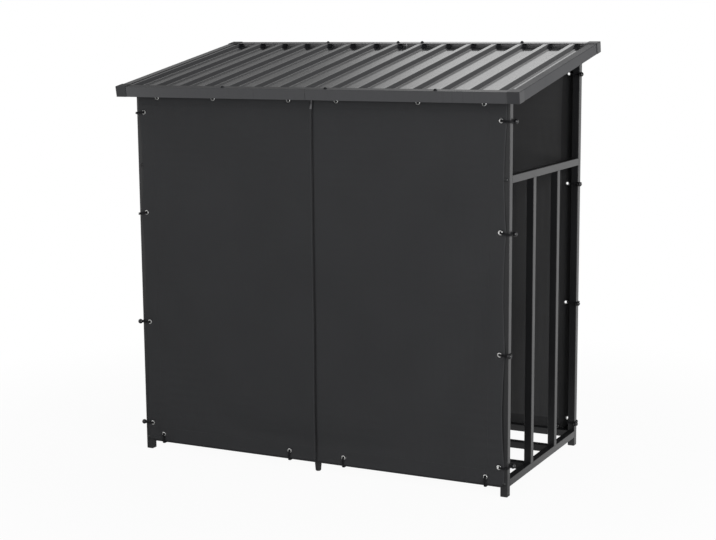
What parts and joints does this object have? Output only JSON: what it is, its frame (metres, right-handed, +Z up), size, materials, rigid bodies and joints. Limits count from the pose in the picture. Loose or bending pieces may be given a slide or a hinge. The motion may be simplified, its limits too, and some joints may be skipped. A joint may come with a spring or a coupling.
{
  "type": "log store",
  "caption": "Lean-to log store: a frame of square steel tube with open ends, a ribbed steel roof and dark cloth covers laced over the long sides.",
  "frame": {"origin": "on the ground under the middle of the roof", "axes": "+X along the store, +Y from the low eave with the zipped cover to the high eave, +Z up"},
  "size_m": [1.5, 0.8116, 1.4537],
  "materials": {
    "cap_plastic": "moulded plastic, dark grey",
    "cover_cloth": "coated woven cloth, near black",
    "foot_plastic": "moulded plastic, black",
    "frame_paint": "satin powder coat, dark grey",
    "roof_paint": "semi-gloss paint, dark grey",
    "zip_plastic": "moulded teeth on woven tape, black"
  },
  "bodies": {
    "root": {"front_base_rail": "frame_paint", "front_left_bar": "frame_paint", "front_left_cover": "cover_cloth", "front_left_floor_bar": "frame_paint", "front_left_post": "frame_paint", "front_left_trim": "roof_paint", "front_right_bar": "frame_paint", "front_right_cover": "cover_cloth", "front_right_floor_bar": "frame_paint", "front_right_post": "frame_paint", "front_right_trim": "roof_paint", "front_top_rail": "frame_paint", "front_zip": "zip_plastic", "left_base_rail": "frame_paint", "left_end_rail": "frame_paint", "left_rafter": "frame_paint", "left_roof_sheet": "roof_paint", "left_verge_trim": "roof_paint", "middle_base_rail": "frame_paint", "middle_feet": "foot_plastic", "middle_rafter": "frame_paint", "post_plugs": "foot_plastic", "rear_base_rail": "frame_paint", "rear_cover": "cover_cloth", "rear_left_bar": "frame_paint", "rear_left_floor_bar": "frame_paint", "rear_left_post": "frame_paint", "rear_left_trim": "roof_paint", "rear_right_bar": "frame_paint", "rear_right_floor_bar": "frame_paint", "rear_right_post": "frame_paint", "rear_right_trim": "roof_paint", "rear_top_rail": "frame_paint", "right_base_rail": "frame_paint", "right_end_rail": "frame_paint", "right_rafter": "frame_paint", "right_roof_sheet": "roof_paint", "right_verge_trim": "roof_paint", "roof_corner_caps": "cap_plastic"}
  },
  "joints": []
}
